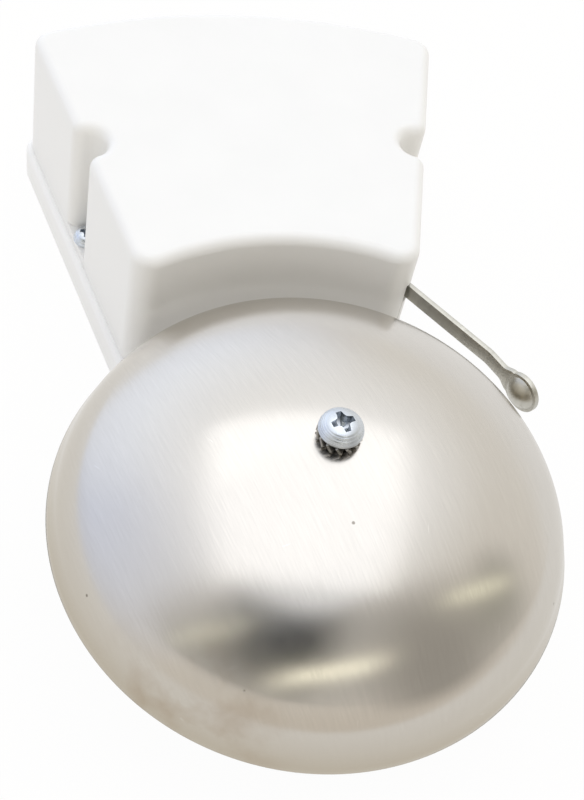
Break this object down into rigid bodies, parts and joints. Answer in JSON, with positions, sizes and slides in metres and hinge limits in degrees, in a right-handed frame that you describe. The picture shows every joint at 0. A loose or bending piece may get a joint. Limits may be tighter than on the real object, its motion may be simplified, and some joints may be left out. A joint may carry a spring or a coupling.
{
  "type": "electric bell",
  "caption": "Small wall bell: a domed metal gong on a pillar, struck by a spring armature's clapper driven by an electromagnet under a white fan-shaped cover.",
  "frame": {"origin": "back face of the base, on the axis of the gong and its pillar", "axes": "+Z away from the wall, +Y from the gong towards the cover, +X towards the clapper's side"},
  "size_m": [0.0773, 0.138, 0.0459],
  "materials": {
    "cover_plastic": "white moulded shell, satin gloss",
    "base_plastic": "white moulded base, satin gloss",
    "gong_metal": "nickel plated, fine straight grain",
    "plated_steel": "zinc plated fastener",
    "toothed_steel": "dark spring steel washer",
    "pillar_steel": "turned, zinc plated",
    "chassis_steel": "zinc plated and yellow passivated sheet",
    "soft_iron": "turned soft iron",
    "armature_iron": "sheared soft iron",
    "spring_bronze": "rolled bronze strip",
    "clapper_steel": "nickel plated strip",
    "bobbin_nylon": "natural moulded nylon",
    "enamelled_copper": "enamelled copper wire in close layers",
    "contact_silver": "silver contact tip",
    "brass": "turned and punched brass",
    "phenolic_board": "brown paper board",
    "terminal_plastic": "moulded block",
    "lead_insulation": "black wire insulation"
  },
  "bodies": {
    "root": {"base_plate": "base_plastic", "gong": "gong_metal", "gong_pillar": "pillar_steel", "gong_seat_washer": "pillar_steel", "gong_tooth_washer": "toothed_steel", "gong_screw": "plated_steel", "coil_core_left": "soft_iron", "coil_core_right": "soft_iron", "bobbin_left": "bobbin_nylon", "bobbin_right": "bobbin_nylon", "winding_left": "enamelled_copper", "winding_right": "enamelled_copper", "core_screws": "plated_steel", "chassis": "chassis_steel", "chassis_screws": "plated_steel", "spring_clamp_plate": "chassis_steel", "spring_clamp_screws": "plated_steel", "contact_bracket": "brass", "contact_insulator": "phenolic_board", "contact_bracket_screw": "plated_steel", "contact_lock_nut": "brass", "terminal_block": "terminal_plastic", "terminal_clamps": "brass", "terminal_screws": "plated_steel", "terminal_block_screw": "plated_steel", "lead_wires": "lead_insulation"},
    "armature": {"armature": "armature_iron", "leaf_spring": "spring_bronze", "armature_rivets": "brass", "contact_rivet": "contact_silver", "clapper": "clapper_steel"},
    "cover": {"cover": "cover_plastic", "cover_screws": "plated_steel"},
    "contact_screw": {"contact_screw": "brass"}
  },
  "joints": [
    {"name": "clapper_swing", "type": "hinge", "parent": "root", "child": "armature", "pos_m": [0.017, 0.0554, 0.0156], "axis": [0, 0, -1], "range_deg": [0, 2.55], "stiffness_Nm_per_rad": 0.06},
    {"name": "cover_lift", "type": "slide", "parent": "root", "child": "cover", "axis": [0, 0, 1], "range_m": [0, 0.045]},
    {"name": "contact_screw_turn", "type": "hinge", "parent": "root", "child": "contact_screw", "pos_m": [-0.011, 0.05, 0.0156], "axis": [0, 1, 0], "range_deg": [-180, 180]}
  ]
}
